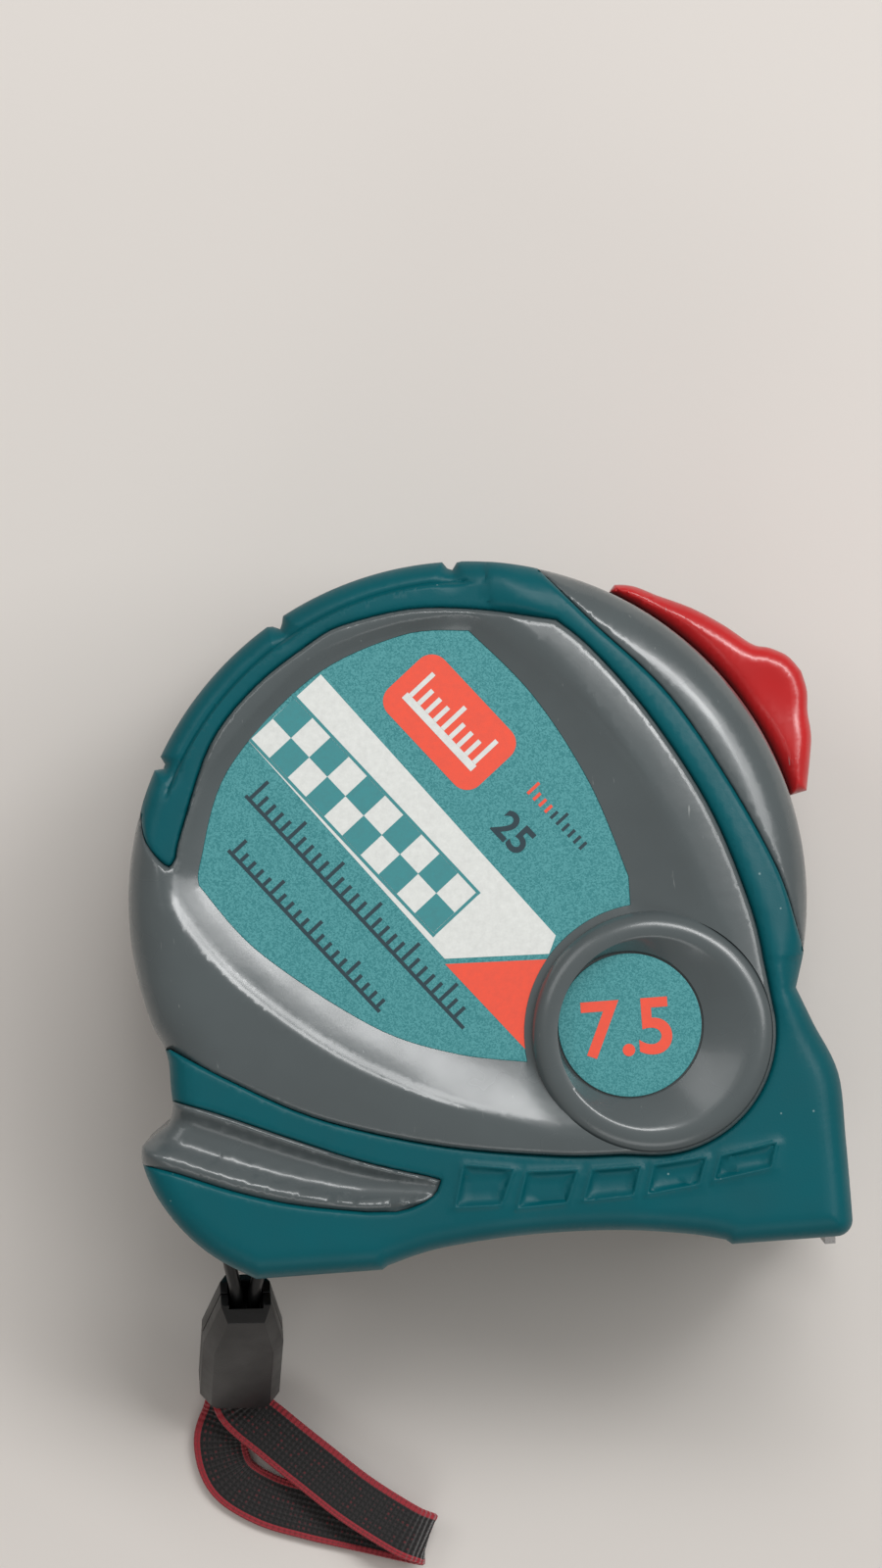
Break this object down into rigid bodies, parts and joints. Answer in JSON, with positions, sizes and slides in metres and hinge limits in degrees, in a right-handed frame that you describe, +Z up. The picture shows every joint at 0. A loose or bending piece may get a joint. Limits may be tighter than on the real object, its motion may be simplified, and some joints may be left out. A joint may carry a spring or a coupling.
{
  "type": "pocket tape measure",
  "caption": "Pocket tape measure: round two-sided case with a rubber jacket, sliding lock, hooked steel blade, belt clip and wrist strap.",
  "frame": {"origin": "on the surface the tape lies on, under the middle of its bounding box without the strap", "axes": "+X from the rear of the case to the blade's mouth, +Y from the base to the top of the case, +Z up, from the belt clip's side to the labelled side"},
  "size_m": [0.0798, 0.1171, 0.0489],
  "materials": {
    "grey_abs": "moulded, glossy",
    "teal_rubber": "soft-touch overmould",
    "label_film": "printed film with a pearl lustre",
    "disc_film": "printed film",
    "red_abs": "moulded, satin gloss",
    "black_nylon": "moulded",
    "white_acetal": "moulded",
    "printed_steel": "lacquered and printed",
    "spring_steel": "rolled strip",
    "bright_steel": "pressed, nickel plated",
    "dark_steel": "black zinc",
    "brake_rubber": "moulded",
    "webbing": "woven, red edges"
  },
  "bodies": {
    "case": {"shell_upper": "grey_abs", "shell_lower": "grey_abs", "jacket_upper": "teal_rubber", "jacket_lower": "teal_rubber", "label_upper": "label_film", "disc_label_upper": "disc_film", "disc_label_lower": "disc_film", "case_screw_1": "dark_steel", "case_screw_2": "dark_steel", "case_screw_3": "dark_steel", "case_screw_4": "dark_steel", "centre_post": "bright_steel", "mouth_guide": "black_nylon", "belt_clip": "bright_steel", "clip_screw": "bright_steel", "strap_pin": "bright_steel"},
    "reel": {"reel_drum": "white_acetal", "reel_cover": "white_acetal", "blade_coil": "printed_steel", "power_spring": "spring_steel"},
    "blade": {"blade_strip": "printed_steel", "hook_rivet_1": "bright_steel", "hook_rivet_2": "bright_steel"},
    "hook": {"end_hook": "bright_steel"},
    "lock": {"lock_button": "red_abs", "lock_arm": "black_nylon", "brake_pad": "brake_rubber"},
    "strap": {"strap_cord": "black_nylon", "strap_clasp_upper": "black_nylon", "strap_clasp_lower": "black_nylon", "strap_webbing": "webbing"}
  },
  "joints": [
    {"name": "reel_spin", "type": "hinge", "parent": "case", "child": "reel", "pos_m": [-0.00092, 0.00042, 0.0276], "axis": [0, 0, 1], "range_deg": [0, 107.5]},
    {"name": "blade_pull", "type": "slide", "parent": "case", "child": "blade", "axis": [1, 0, 0], "range_m": [0, 0.055]},
    {"name": "hook_float", "type": "slide", "parent": "blade", "child": "hook", "axis": [1, 0, 0], "range_m": [0, 0.001]},
    {"name": "lock_slide", "type": "hinge", "parent": "case", "child": "lock", "pos_m": [-0.00092, 0.00193, 0.0276], "axis": [0, 0, 1], "range_deg": [-12, 0]},
    {"name": "strap_swing", "type": "hinge", "parent": "case", "child": "strap", "pos_m": [-0.02942, -0.03438, 0.0276], "axis": [0, 0, 1], "range_deg": [-40, 18]}
  ],
  "couplings": [
    {"joint": "blade_pull", "follows": "reel_spin", "m_per_rad": 0.0293}
  ]
}
